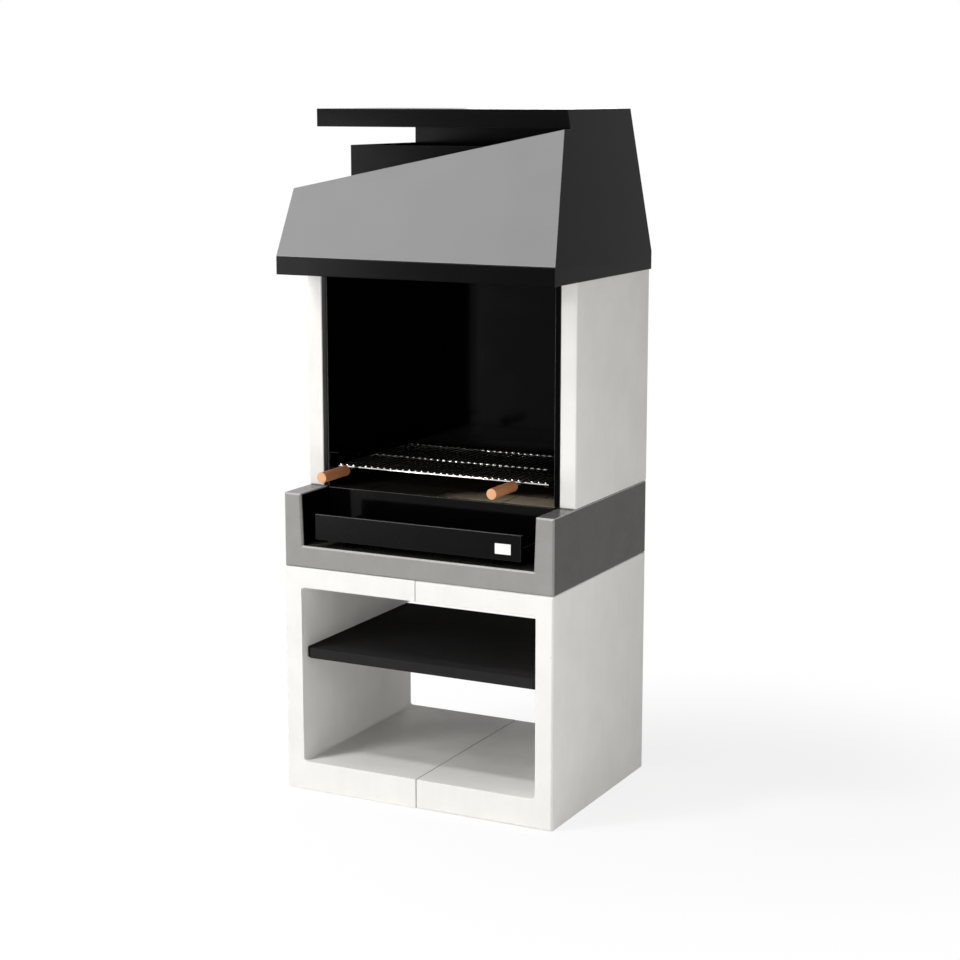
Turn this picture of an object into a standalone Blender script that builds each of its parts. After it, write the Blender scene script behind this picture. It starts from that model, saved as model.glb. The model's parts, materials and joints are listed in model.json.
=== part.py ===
"""Masonry barbecue grill: cast concrete base, bench and fireplace walls, with a
sheet-steel firebox, a brick hearth, a wire grate, an ash drawer and a folded hood.

Lengths are in metres. X runs across from the middle, Y runs back from the base's
front face and Z runs up from the floor. One empty carries the whole grill and puts
the world origin on the floor under the middle of its bounding box.
"""

import math

import bmesh
import bpy
from mathutils import Matrix, Vector

# Clearance between pieces that touch, and the gauge of the sheet steel
CLEARANCE = 0.0003
SHEET = 0.002
BEND_RADIUS = 0.003
BEND_STEPS = 3

# Concrete base: two C-shaped blocks that meet in the middle
WIDTH = 0.900
DEPTH = 0.679
BASE_HEIGHT = 0.7016
BASE_WALL = 0.058
BASE_FLOOR = 0.0914
BASE_RAIL = 0.0632
BASE_FILLET = 0.010
FILLET_STEPS = 5
CHAMFER = 0.005
LONG_EDGE_SHARE = 0.35
JOINT_EDGE_SHARE = 0.4

# Shelf, slid from the back into grooves cast in the base's walls
SHELF_TOP = 0.4475
SHELF_THICKNESS = 0.033
SHELF_SETBACK = 0.021
SHELF_CORNER = 0.012
SHELF_CHAMFER = 0.002
GROOVE_DEPTH = 0.012

# Bench: a grey concrete tray on the base, open at the front
BENCH_HEIGHT = 0.2272
BENCH_FLOOR = 0.0676
CHEEK_TOP = 0.058
CHEEK_DRAFT = 0.0055
LINING_FRONT = 0.008
LINING_DROP = 0.004

# Fireplace walls on the bench
WALL = 0.052
WALL_FRONT = 0.1488
WALL_HEIGHT = 0.671
WALL_CHAMFER = 0.003

# Steel firebox liner, hung on the bench's top by the hearth pan's flanges
LINER_GAP = 0.018
LINER_RISE = 0.0202
PAN_DEPTH = 0.0344
PAN_WALL_GAP = 0.002
PLATE_ABOVE_TRAY = 0.012
RAIL_ABOVE_BRICKS = 0.0005
RAIL_DEPTH = 0.012

# Fire bricks, laid dry in the pan in a stretcher bond
BRICK_LENGTH = 0.2215
BRICK_DEPTH = 0.110
BRICK_THICKNESS = 0.030
BRICK_JOINT = 0.003
BRICK_START = 0.0167
BOND_SHIFT = 0.086
BRICK_CHAMFER = 0.002

# Wire grate, its two drawn-out handle wires and the angles that carry it
ROD_DIAMETER = 0.005
BAR_DIAMETER = 0.0055
WIRE_SIDES = 8
WELD_SINK = 0.0005
ROD_PITCH = 0.0216
RODS_OUTSIDE_HANDLE = 3
GRATE_ABOVE_BRICKS = 0.069
BAR_COUNT = 3
BAR_SET_IN = 0.0187
BAR_BACK_GAP = 0.010
BAR_END_GAP = 0.0245
BAR_OVERHANG = 0.009
ROD_OVERHANG = 0.004
HANDLE_DIAMETER = 0.032
HANDLE_LENGTH = 0.140
HANDLE_BEFORE_BAR = 0.0851
HANDLE_CHAMFER = 0.0015
HANDLE_BORE = 0.0056
TANG_LENGTH = 0.110
HANDLE_STEPS = 32
ANGLE_LEG = 0.025
ANGLE_SEAT = 0.032
ANGLE_SET_IN = 0.003
LEVEL_STEP = 0.047

# Ash drawer: a folded front on a low tray, which slides on two channels
DRAWER_FRONT = 0.005
DRAWER_SIDE_GAP = 0.043
DRAWER_LIFT = 0.0228
DRAWER_HEIGHT = 0.078
DRAWER_RETURN = 0.014
TRAY_HEIGHT = 0.033
TRAY_DEPTH = 0.280
TRAY_SIDE_GAP = 0.012
RUNNER_FROM_END = 0.0935
RUNNER_WIDTH = 0.020
RUNNER_SET_IN = 0.030
BADGE_WIDTH = 0.051
BADGE_HEIGHT = 0.031
BADGE_FROM_END = 0.057
BADGE_SILL = 0.018
BADGE_THICKNESS = 0.001

# Hood: skirt, leaning front plate, side and back panels, flue box and cap
HOOD_SIDE_GAP = 0.0045
HOOD_OVERHANG = 0.0126
HOOD_BACK_GAP = 0.0018
SKIRT_DROP = 0.0138
SKIRT_HEIGHT = 0.0548
SKIRT_LIP = 0.015
PLATE_LEAN = 0.5303
PLATE_LEFT_RISE = 0.1948
SIDE_LEAN = 0.1776
SHOULDER_DROP = 0.0056
SHOULDER_LAP = 0.012
FLUE_SETOFF = 0.0895
FLUE_HEIGHT = 0.1298
FLUE_SETBACK = 0.0457
CAP_GAP = 0.0548
CAP_SETBACK = 0.0435
CAP_HEIGHT = 0.0535
CAP_ABOVE_PLATE = 0.0023
LEDGE_SEAT = 0.045
LEDGE_LEG = 0.030
LEDGE_SHEET = 0.003
LEDGE_RADIUS = 0.005
LEDGE_SET_IN = 0.015

# What follows from those sizes
HALF_WIDTH = WIDTH / 2
BENCH_TOP = BASE_HEIGHT + BENCH_HEIGHT
BENCH_FLOOR_TOP = BASE_HEIGHT + BENCH_FLOOR
TROUGH_TOP_HALF = HALF_WIDTH - CHEEK_TOP
TROUGH_FLOOR_HALF = TROUGH_TOP_HALF - CHEEK_DRAFT
WALL_TOP = BENCH_TOP + WALL_HEIGHT
WALL_INNER = HALF_WIDTH - WALL
SKIN = SHEET + CLEARANCE
LINER_HALF = WALL_INNER - LINER_GAP
LINER_BACK = DEPTH - CHEEK_TOP
LINER_TOP = WALL_TOP + LINER_RISE
PAN_SEAT = BENCH_TOP + CLEARANCE
PAN_FLOOR = PAN_SEAT - PAN_DEPTH + SHEET
PAN_HALF = LINER_HALF + PAN_WALL_GAP + SHEET
PAN_FRONT = WALL_FRONT + SKIN
PAN_BACK = LINER_BACK - SKIN
LINER_BOTTOM = PAN_SEAT + SHEET + CLEARANCE
BRICK_FOOT = PAN_FLOOR + CLEARANCE
BRICK_TOP = BRICK_FOOT + BRICK_THICKNESS
BRICK_BACK = PAN_BACK - SHEET - PAN_WALL_GAP
RAIL_TOP = BRICK_TOP + RAIL_ABOVE_BRICKS
GRATE_HEIGHT = BRICK_TOP + GRATE_ABOVE_BRICKS
BAR_FRONT = WALL_FRONT + BAR_SET_IN
BAR_BACK = LINER_BACK - BAR_BACK_GAP
BAR_HALF = LINER_HALF - BAR_END_GAP
RODS_EACH_SIDE = math.floor((BAR_HALF - BAR_OVERHANG) / ROD_PITCH)
HANDLE_ROD = RODS_EACH_SIDE - RODS_OUTSIDE_HANDLE
HANDLE_BACK = BAR_FRONT - HANDLE_BEFORE_BAR
HANDLE_FRONT = HANDLE_BACK - HANDLE_LENGTH
DRAWER_WIDTH = 2 * (TROUGH_FLOOR_HALF - DRAWER_SIDE_GAP)
DRAWER_BOTTOM = BENCH_FLOOR_TOP + DRAWER_LIFT
PLATE_BOTTOM = DRAWER_BOTTOM + TRAY_HEIGHT + PLATE_ABOVE_TRAY
HOOD_HALF = HALF_WIDTH + HOOD_SIDE_GAP
HOOD_FRONT = -HOOD_OVERHANG
HOOD_BACK = DEPTH + HOOD_BACK_GAP + SHEET
SKIRT_BOTTOM = WALL_TOP - SKIRT_DROP
SKIRT_TOP = SKIRT_BOTTOM + SKIRT_HEIGHT
PLATE_LOW = SKIRT_TOP + PLATE_LEFT_RISE
SHOULDER = PLATE_LOW - SHOULDER_DROP
FLUE_TOP = SHOULDER + FLUE_HEIGHT
CAP_BOTTOM = FLUE_TOP + CAP_GAP
CAP_TOP = CAP_BOTTOM + CAP_HEIGHT
PLATE_HIGH = CAP_BOTTOM - CAP_ABOVE_PLATE
CAP_FRONT = HOOD_FRONT + PLATE_LEAN * (PLATE_HIGH - SKIRT_TOP) + CAP_SETBACK
FLUE_FRONT = CAP_FRONT + FLUE_SETBACK
FLUE_LEFT = -HOOD_HALF + FLUE_SETOFF
PLATE_SECANT = math.hypot(1, PLATE_LEAN)
SIDE_SECANT = math.hypot(1, SIDE_LEAN)
MIDDLE_Y = (HANDLE_FRONT + HOOD_BACK) / 2

# Turns for outlines drawn flat: STOOD_ACROSS puts local X, Y on world X, Z, and
# STOOD_ALONG puts them on world Y, Z, so that the outline is drawn out along X
STOOD_ACROSS = (math.radians(90), 0, 0)
STOOD_ALONG = (math.radians(90), 0, math.radians(90))


def clear_scene():
    for leftover in list(bpy.data.objects):
        bpy.data.objects.remove(leftover, do_unlink=True)


def new_collection(name):
    collection = bpy.data.collections.new(name)
    bpy.context.scene.collection.children.link(collection)
    return collection


def linear(channel):
    """One 0 to 255 sRGB channel as linear light."""
    share = channel / 255
    return share / 12.92 if share <= 0.04045 else ((share + 0.055) / 1.055) ** 2.4


def finish(name, colour, roughness, metallic=0.0):
    """A surface from its sRGB colour, given as 0xRRGGBB."""
    material = bpy.data.materials.new(name)
    material.use_nodes = True
    shader = material.node_tree.nodes["Principled BSDF"]
    channels = (colour >> 16 & 255, colour >> 8 & 255, colour & 255)
    shader.inputs["Base Color"].default_value = (*map(linear, channels), 1.0)
    shader.inputs["Roughness"].default_value = roughness
    shader.inputs["Metallic"].default_value = metallic
    return material


def empty(name, location, parent=None):
    holder = bpy.data.objects.new(name, None)
    holder.location = location
    holder.parent = parent
    PIECES.objects.link(holder)
    return holder


def place(name, mesh, material, location=(0, 0, 0), rotation=(0, 0, 0), parent=None):
    """Adds a mesh to the grill as the named piece."""
    piece = bpy.data.objects.new(name, mesh)
    piece.location = location
    piece.rotation_euler = rotation
    piece.parent = parent or STAND
    if not mesh.materials:
        mesh.materials.append(material)
    PIECES.objects.link(piece)
    return piece


def as_cutter(name, mesh, location=(0, 0, 0), rotation=(0, 0, 0)):
    cutter = bpy.data.objects.new(name, mesh)
    cutter.location = location
    cutter.rotation_euler = rotation
    cutter.parent = STAND
    cutter.hide_render = True
    cutter.display_type = "WIRE"
    CUTTERS.objects.link(cutter)
    return cutter


def cut(piece, cutter):
    boolean = piece.modifiers.new(cutter.name, "BOOLEAN")
    boolean.operation = "DIFFERENCE"
    boolean.object = cutter


def apply_modifiers(piece):
    bpy.context.view_layer.update()
    graph = bpy.context.evaluated_depsgraph_get()
    shape = bpy.data.meshes.new_from_object(piece.evaluated_get(graph))
    piece.modifiers.clear()
    piece.data = shape


def finished_mesh(name, bm):
    mesh = bpy.data.meshes.new(name)
    bm.to_mesh(mesh)
    bm.free()
    return mesh


def block_mesh(name, width, depth, height):
    """A box about its own centre."""
    bm = bmesh.new()
    bmesh.ops.create_cube(bm, size=1)
    bmesh.ops.scale(bm, vec=(width, depth, height), verts=bm.verts)
    return finished_mesh(name, bm)


def rounded(corners, steps=BEND_STEPS, closed=True):
    """Points along an outline of (x, y, radius) corners, each radius drawn as an arc."""
    points = []
    last = len(corners) - 1
    for index, (x, y, radius) in enumerate(corners):
        here = Vector((x, y))
        if radius == 0 or (not closed and index in (0, last)):
            points.append(here)
            continue
        before = (Vector(corners[index - 1][:2]) - here).normalized()
        after = (Vector(corners[(index + 1) % len(corners)][:2]) - here).normalized()
        half_angle = before.angle(after) / 2
        reach = radius / math.tan(half_angle)
        centre = here + (before + after).normalized() * radius / math.sin(half_angle)
        spoke = here + before * reach - centre
        turn = math.pi - 2 * half_angle
        if before.x * after.y - before.y * after.x > 0:
            turn = -turn
        for step in range(steps + 1):
            points.append(centre + Matrix.Rotation(turn * step / steps, 2) @ spoke)
    return points


def outline_mesh(name, points, thickness):
    """A flat outline drawn out to a thickness, half to each side of its plane."""
    curve = bpy.data.curves.new(name, "CURVE")
    curve.dimensions = "2D"
    curve.fill_mode = "BOTH"
    curve.extrude = thickness / 2
    spline = curve.splines.new("POLY")
    spline.points.add(len(points) - 1)
    for point, (x, y) in zip(spline.points, points):
        point.co = (x, y, 0, 1)
    spline.use_cyclic_u = True
    guide = bpy.data.objects.new(name, curve)
    bpy.context.scene.collection.objects.link(guide)
    bpy.context.view_layer.update()
    graph = bpy.context.evaluated_depsgraph_get()
    shape = bpy.data.meshes.new_from_object(guide.evaluated_get(graph))
    bpy.data.objects.remove(guide, do_unlink=True)
    bm = bmesh.new()
    bm.from_mesh(shape)
    bmesh.ops.remove_doubles(bm, verts=bm.verts, dist=1e-6)
    bmesh.ops.recalc_face_normals(bm, faces=bm.faces)
    bpy.data.meshes.remove(shape)
    return finished_mesh(name, bm)


def chamfer(piece, width, share=lambda edge: 1.0):
    """Chamfers a piece's sharp outer edges, each by its own share of the width."""
    bm = bmesh.new()
    bm.from_mesh(piece.data)
    weight = bm.edges.layers.float.new("bevel_weight_edge")
    for edge in bm.edges:
        if edge.is_convex and edge.calc_face_angle(0) > math.radians(25):
            edge[weight] = share(edge)
    bm.to_mesh(piece.data)
    bm.free()
    bevel = piece.modifiers.new("chamfer", "BEVEL")
    bevel.width = width
    bevel.segments = 1
    bevel.limit_method = "WEIGHT"


def end_edges_more(edge):
    """Full share for the edges round the two faces across local Z, less for the rest."""
    first, second = edge.verts
    return 1.0 if abs(first.co.z - second.co.z) < 1e-5 else LONG_EDGE_SHARE


def sheet_mesh(name, path, length):
    """An open strip: a path of points drawn out along local Z from 0 to the length.
    Its faces look to the left of the path."""
    bm = bmesh.new()
    line = [bm.verts.new((x, y, 0)) for x, y in path]
    edges = [bm.edges.new(pair) for pair in zip(line, line[1:])]
    drawn = bmesh.ops.extrude_edge_only(bm, edges=edges)["geom"]
    far = [part for part in drawn if isinstance(part, bmesh.types.BMVert)]
    bmesh.ops.translate(bm, verts=far, vec=(0, 0, length))
    bm.normal_update()
    along = Vector((*(path[1] - path[0]), 0))
    left = Vector((0, 0, 1)).cross(along)
    bm.faces.ensure_lookup_table()
    start = min(bm.faces, key=lambda face: (face.calc_center_median().xy - path[0]).length)
    if start.normal.dot(left) < 0:
        bmesh.ops.reverse_faces(bm, faces=bm.faces)
    return finished_mesh(name, bm)


def thicken(piece, thickness, towards_normals):
    solid = piece.modifiers.new("sheet", "SOLIDIFY")
    solid.thickness = thickness
    solid.offset = 1 if towards_normals else -1
    solid.use_even_offset = True
    solid.use_quality_normals = True


def flat_sheet_mesh(name, outline, fold=None, lean=0.0):
    """A sheet cut to an outline in local X, Y. Above the fold line, y = fold, it
    leans towards -Z by lean for each metre of height."""
    bm = bmesh.new()
    bm.faces.new([bm.verts.new((x, y, 0)) for x, y in outline])
    if fold is not None:
        bmesh.ops.bisect_plane(
            bm,
            geom=bm.verts[:] + bm.edges[:] + bm.faces[:],
            plane_co=(0, fold, 0),
            plane_no=(0, 1, 0),
        )
        for vert in bm.verts:
            vert.co.z = -lean * max(0.0, vert.co.y - fold)
    bm.normal_update()
    for face in bm.faces:
        if face.normal.z < 0:
            face.normal_flip()
    return finished_mesh(name, bm)


def tray_mesh(name, width, depth, height, open_faces, side_flange=0.0, back_flange=0.0):
    """The walls of a box about its own centre without the faces that look along the
    given directions. Flanges may turn outwards from the rim at the sides and back."""
    bm = bmesh.new()
    bmesh.ops.create_cube(bm, size=1)
    bmesh.ops.scale(bm, vec=(width, depth, height), verts=bm.verts)
    bm.normal_update()
    openings = [
        face
        for face in bm.faces
        if any(face.normal.dot(Vector(way)) > 0.9 for way in open_faces)
    ]
    bmesh.ops.delete(bm, geom=openings, context="FACES")
    if side_flange:
        rim = [
            edge
            for edge in bm.edges
            if all(vert.co.z > 0 for vert in edge.verts) and edge.is_boundary
        ]
        drawn = bmesh.ops.extrude_edge_only(bm, edges=rim)["geom"]
        for vert in drawn:
            if not isinstance(vert, bmesh.types.BMVert):
                continue
            vert.co.x += math.copysign(side_flange, vert.co.x)
            if vert.co.y > 0:
                vert.co.y += back_flange
    return finished_mesh(name, bm)


def front_at(height, inset=0.0):
    """Y of the hood's leaning front plane at a height, inset square to the plane."""
    return HOOD_FRONT + PLATE_LEAN * (height - SKIRT_TOP) + inset * PLATE_SECANT


def right_at(height, inset=0.0):
    """X of the hood's right side at a height, inset square to the panel."""
    if height <= SKIRT_TOP:
        return HOOD_HALF - inset
    return HOOD_HALF - SIDE_LEAN * (height - SKIRT_TOP) - inset * SIDE_SECANT


def trough_half(height):
    """Half the width of the bench's trough at a height."""
    share = (height - BENCH_FLOOR_TOP) / (BENCH_TOP - BENCH_FLOOR_TOP)
    return TROUGH_FLOOR_HALF + CHEEK_DRAFT * share


def base_block(name, side):
    """One half of the base: a C-shaped casting, open towards the middle, with a
    stopped groove for the shelf that runs out at the back."""
    inner = HALF_WIDTH - BASE_WALL
    joint = CLEARANCE / 2
    corners = [
        (HALF_WIDTH, 0, 0),
        (HALF_WIDTH, BASE_HEIGHT, 0),
        (joint, BASE_HEIGHT, 0),
        (joint, BASE_HEIGHT - BASE_RAIL, 0),
        (inner, BASE_HEIGHT - BASE_RAIL, BASE_FILLET),
        (inner, BASE_FLOOR, BASE_FILLET),
        (joint, BASE_FLOOR, 0),
        (joint, 0, 0),
    ]
    outline = rounded([(side * x, z, radius) for x, z, radius in corners], FILLET_STEPS)
    block = place(
        name,
        outline_mesh(name, outline, DEPTH),
        WHITE_CONCRETE,
        location=(0, DEPTH / 2, 0),
        rotation=STOOD_ACROSS,
    )
    groove_front = SHELF_SETBACK + SHELF_CORNER - CLEARANCE
    groove = as_cutter(
        name + "_groove",
        block_mesh(
            name + "_groove",
            2 * GROOVE_DEPTH,
            2 * (DEPTH - groove_front),
            SHELF_THICKNESS + 2 * CLEARANCE,
        ),
        location=(side * inner, DEPTH, SHELF_TOP - SHELF_THICKNESS / 2),
    )
    cut(block, groove)
    apply_modifiers(block)

    def share(edge):
        at_joint = all(abs(vert.co.x) < 2 * joint for vert in edge.verts)
        in_groove = all(
            abs(vert.co.x) > inner - BASE_FILLET / 2
            and abs(abs(vert.co.x) - HALF_WIDTH) > CHAMFER
            and abs(vert.co.y - SHELF_TOP + SHELF_THICKNESS / 2) < SHELF_THICKNESS
            for vert in edge.verts
        )
        if in_groove:
            return 0.0
        return JOINT_EDGE_SHARE if at_joint else end_edges_more(edge)

    chamfer(block, CHAMFER, share)


def storage_shelf():
    """A dark slab whose side edges run in the grooves."""
    half = HALF_WIDTH - BASE_WALL + GROOVE_DEPTH - CLEARANCE
    clear_half = HALF_WIDTH - BASE_WALL - CLEARANCE
    shoulder = SHELF_SETBACK + SHELF_CORNER
    right = [
        (clear_half - SHELF_CORNER, SHELF_SETBACK),
        (clear_half, shoulder),
        (half, shoulder),
        (half, DEPTH - SHELF_SETBACK),
    ]
    outline = right + [(-x, y) for x, y in reversed(right)]
    shelf = place(
        "storage_shelf",
        outline_mesh("storage_shelf", outline, SHELF_THICKNESS),
        BLACK_SLAB,
        location=(0, 0, SHELF_TOP - SHELF_THICKNESS / 2),
    )
    chamfer(shelf, SHELF_CHAMFER)


def bench():
    """A grey tray cast in one piece, its trough drafted at the cheeks so that the
    casting leaves the mould."""
    body = place(
        "bench",
        block_mesh("bench", WIDTH, DEPTH, BENCH_HEIGHT - CLEARANCE),
        GREY_CONCRETE,
        location=(0, DEPTH / 2, BENCH_TOP - (BENCH_HEIGHT - CLEARANCE) / 2),
    )
    above = BENCH_TOP + BENCH_HEIGHT
    outline = [
        (TROUGH_FLOOR_HALF, BENCH_FLOOR_TOP),
        (trough_half(above), above),
        (-trough_half(above), above),
        (-TROUGH_FLOOR_HALF, BENCH_FLOOR_TOP),
    ]
    trough_length = DEPTH - CHEEK_TOP + BENCH_HEIGHT
    trough = as_cutter(
        "bench_trough",
        outline_mesh("bench_trough", outline, trough_length),
        location=(0, DEPTH - CHEEK_TOP - trough_length / 2, 0),
        rotation=STOOD_ACROSS,
    )
    cut(body, trough)
    apply_modifiers(body)

    def share(edge):
        first, second = edge.verts
        across = abs(first.co.y - second.co.y) < 1e-5
        at_end = abs(abs(first.co.y) - DEPTH / 2) < 1e-5
        return 1.0 if across and at_end else LONG_EDGE_SHARE

    chamfer(body, CHAMFER, share)


def trough_lining(name, side):
    """A black sheet against one cheek of the trough, leaning with its draft."""
    foot = BENCH_FLOOR_TOP + CLEARANCE
    top = BENCH_TOP - LINING_DROP
    corners = [
        (trough_half(foot) - CLEARANCE, foot),
        (trough_half(top) - CLEARANCE, top),
        (trough_half(top) - SKIN, top),
        (trough_half(foot) - SKIN, foot),
    ]
    back = DEPTH - CHEEK_TOP - CLEARANCE
    length = back - LINING_FRONT
    outline = [(side * x, z) for x, z in corners]
    place(
        name,
        outline_mesh(name, outline, length),
        BLACK_ENAMEL,
        location=(0, LINING_FRONT + length / 2, 0),
        rotation=STOOD_ACROSS,
    )


def fireplace_walls():
    """Two side walls flush with the bench, and a rear wall between them."""
    foot = BENCH_TOP + CLEARANCE
    height = WALL_TOP - foot
    length = DEPTH - WALL_FRONT
    for name, side in (("left_side_wall", -1), ("right_side_wall", 1)):
        wall = place(
            name,
            block_mesh(name, WALL, length, height),
            WHITE_CONCRETE,
            location=(side * (HALF_WIDTH - WALL / 2), WALL_FRONT + length / 2, foot + height / 2),
        )
        chamfer(wall, WALL_CHAMFER)
    rear = place(
        "rear_wall",
        block_mesh("rear_wall", 2 * (WALL_INNER - CLEARANCE), WALL, height),
        WHITE_CONCRETE,
        location=(0, DEPTH - WALL / 2, foot + height / 2),
    )
    chamfer(rear, WALL_CHAMFER)


def firebox_liner():
    """Side sheets with a front flange against each wall's edge, and a back sheet."""
    height = LINER_TOP - LINER_BOTTOM
    for name, side in (("liner_left_side", -1), ("liner_right_side", 1)):
        corners = [
            (side * (WALL_INNER - CLEARANCE), WALL_FRONT, 0),
            (side * LINER_HALF, WALL_FRONT, BEND_RADIUS),
            (side * LINER_HALF, LINER_BACK - CLEARANCE, 0),
        ]
        path = rounded(corners, closed=False)
        sheet = place(
            name, sheet_mesh(name, path, height), BLACK_ENAMEL, location=(0, 0, LINER_BOTTOM)
        )
        thicken(sheet, SHEET, towards_normals=side < 0)
    width = 2 * (WALL_INNER - CLEARANCE)
    place(
        "liner_back",
        block_mesh("liner_back", width, SHEET, height),
        BLACK_ENAMEL,
        location=(0, LINER_BACK + SHEET / 2, LINER_BOTTOM + height / 2),
    )


def hearth():
    """A pan hung on the bench by its flanges, and the plate with a folded rail that
    closes its front and keeps the bricks in."""
    pan = place(
        "hearth_pan",
        tray_mesh(
            "hearth_pan",
            2 * PAN_HALF,
            PAN_BACK - PAN_FRONT,
            PAN_DEPTH,
            open_faces=((0, 0, 1), (0, -1, 0)),
            side_flange=WALL_INNER - CLEARANCE - PAN_HALF,
            back_flange=DEPTH - WALL - CLEARANCE - PAN_BACK,
        ),
        BLACK_ENAMEL,
        location=(0, (PAN_FRONT + PAN_BACK) / 2, PAN_SEAT - PAN_DEPTH / 2),
    )
    thicken(pan, SHEET, towards_normals=False)
    corners = [
        (WALL_FRONT, PLATE_BOTTOM, 0),
        (WALL_FRONT, RAIL_TOP, BEND_RADIUS),
        (WALL_FRONT + RAIL_DEPTH, RAIL_TOP, BEND_RADIUS),
        (WALL_FRONT + RAIL_DEPTH, BRICK_FOOT, 0),
    ]
    half = PAN_HALF - SKIN
    plate = place(
        "hearth_front_plate",
        sheet_mesh("hearth_front_plate", rounded(corners, closed=False), 2 * half),
        BLACK_ENAMEL,
        location=(-half, 0, 0),
        rotation=STOOD_ALONG,
    )
    thicken(plate, SHEET, towards_normals=False)


def fire_bricks():
    """Bricks laid in rows, every second row shifted, the last ones cut to the pan."""
    pitch = BRICK_LENGTH + BRICK_JOINT
    front = WALL_FRONT + BRICK_START
    row = 0
    while front < BRICK_BACK - BRICK_JOINT:
        row += 1
        depth = min(BRICK_DEPTH, BRICK_BACK - front)
        left = -LINER_HALF
        joint = left + pitch - (BOND_SHIFT if row % 2 == 1 else 0)
        number = 0
        while left < LINER_HALF - BRICK_JOINT:
            number += 1
            right = min(joint - BRICK_JOINT, LINER_HALF)
            name = f"fire_brick_{row}_{number}"
            brick = place(
                name,
                block_mesh(name, right - left, depth, BRICK_THICKNESS),
                FIRE_BRICK,
                location=((left + right) / 2, front + depth / 2, BRICK_FOOT + BRICK_THICKNESS / 2),
            )
            chamfer(brick, BRICK_CHAMFER)
            left = joint
            joint += pitch
        front += BRICK_DEPTH + BRICK_JOINT


def wires(name, radius, runs):
    """Straight round wires in one mesh, each from one point to another."""
    bm = bmesh.new()
    for start, end in runs:
        span = Vector(end) - Vector(start)
        turn = span.to_track_quat("Z", "Y").to_matrix().to_4x4()
        middle = Matrix.Translation((Vector(start) + Vector(end)) / 2)
        bmesh.ops.create_cone(
            bm,
            cap_ends=True,
            segments=WIRE_SIDES,
            radius1=radius,
            radius2=radius,
            depth=span.length,
            matrix=middle @ turn,
        )
    return finished_mesh(name, bm)


def grate():
    """Rods welded on three cross bars. Two rods run on forward as the handles' tangs."""
    rod_back = BAR_BACK + ROD_OVERHANG
    rods = []
    for number in range(-RODS_EACH_SIDE, RODS_EACH_SIDE + 1):
        x = number * ROD_PITCH
        is_tang = abs(number) == HANDLE_ROD
        front = HANDLE_BACK - TANG_LENGTH if is_tang else BAR_FRONT - ROD_OVERHANG
        rods.append(((x, front - BAR_FRONT, 0), (x, rod_back - BAR_FRONT, 0)))
    bar_drop = (ROD_DIAMETER + BAR_DIAMETER) / 2 - WELD_SINK
    spacing = (BAR_BACK - BAR_FRONT) / (BAR_COUNT - 1)
    bars = []
    for number in range(BAR_COUNT):
        y = number * spacing
        bars.append(((-BAR_HALF, y, -bar_drop), (BAR_HALF, y, -bar_drop)))
    frame = place("grate", wires("grate", ROD_DIAMETER / 2, rods), CHROME, parent=GRATE_SLIDE)
    cross = as_cutter("grate_bars", wires("grate_bars", BAR_DIAMETER / 2, bars))
    cross.parent = GRATE_SLIDE
    weld = frame.modifiers.new("weld", "BOOLEAN")
    weld.operation = "UNION"
    weld.object = cross
    apply_modifiers(frame)
    frame.data.shade_smooth()
    frame.data.set_sharp_from_angle(angle=math.radians(50))


def grate_handle(name, side):
    """A turned wooden grip, bored from behind for its tang."""
    outer = HANDLE_DIAMETER / 2
    bore = HANDLE_BORE / 2
    depth = TANG_LENGTH + CLEARANCE
    profile = [
        (0, HANDLE_LENGTH),
        (outer - HANDLE_CHAMFER, HANDLE_LENGTH),
        (outer, HANDLE_LENGTH - HANDLE_CHAMFER),
        (outer, HANDLE_CHAMFER),
        (outer - HANDLE_CHAMFER, 0),
        (bore, 0),
        (bore, depth),
        (0, depth),
    ]
    bm = bmesh.new()
    line = [bm.verts.new((x, 0, z)) for x, z in profile]
    for pair in zip(line, line[1:]):
        bm.edges.new(pair)
    grip = place(
        name,
        finished_mesh(name, bm),
        BEECH,
        location=(side * HANDLE_ROD * ROD_PITCH, HANDLE_BACK - BAR_FRONT, 0),
        rotation=STOOD_ACROSS,
        parent=GRATE_SLIDE,
    )
    turned = grip.modifiers.new("turned", "SCREW")
    turned.axis = "Z"
    turned.steps = HANDLE_STEPS
    turned.render_steps = HANDLE_STEPS
    turned.use_merge_vertices = True
    turned.merge_threshold = 1e-5
    apply_modifiers(grip)
    grip.data.shade_smooth()
    grip.data.set_sharp_from_angle(angle=math.radians(30))


def grate_angles():
    """Two levels of folded angles on the liner's sides. The bars rest on the lower pair."""
    bar_bottom = GRATE_HEIGHT - ROD_DIAMETER / 2 - BAR_DIAMETER + WELD_SINK
    length = LINER_BACK - WALL_FRONT - 2 * ANGLE_SET_IN
    wall = LINER_HALF - CLEARANCE
    for level, level_name in enumerate(("lower", "upper")):
        seat = bar_bottom - CLEARANCE + level * LEVEL_STEP
        for side, side_name in ((-1, "left"), (1, "right")):
            name = f"grate_angle_{level_name}_{side_name}"
            corners = [
                (side * wall, seat - ANGLE_LEG, 0),
                (side * wall, seat, BEND_RADIUS),
                (side * (wall - ANGLE_SEAT), seat, 0),
            ]
            angle = place(
                name,
                sheet_mesh(name, rounded(corners, closed=False), length),
                BLACK_ENAMEL,
                location=(0, WALL_FRONT + ANGLE_SET_IN + length, 0),
                rotation=STOOD_ACROSS,
            )
            thicken(angle, SHEET, towards_normals=side > 0)


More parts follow.
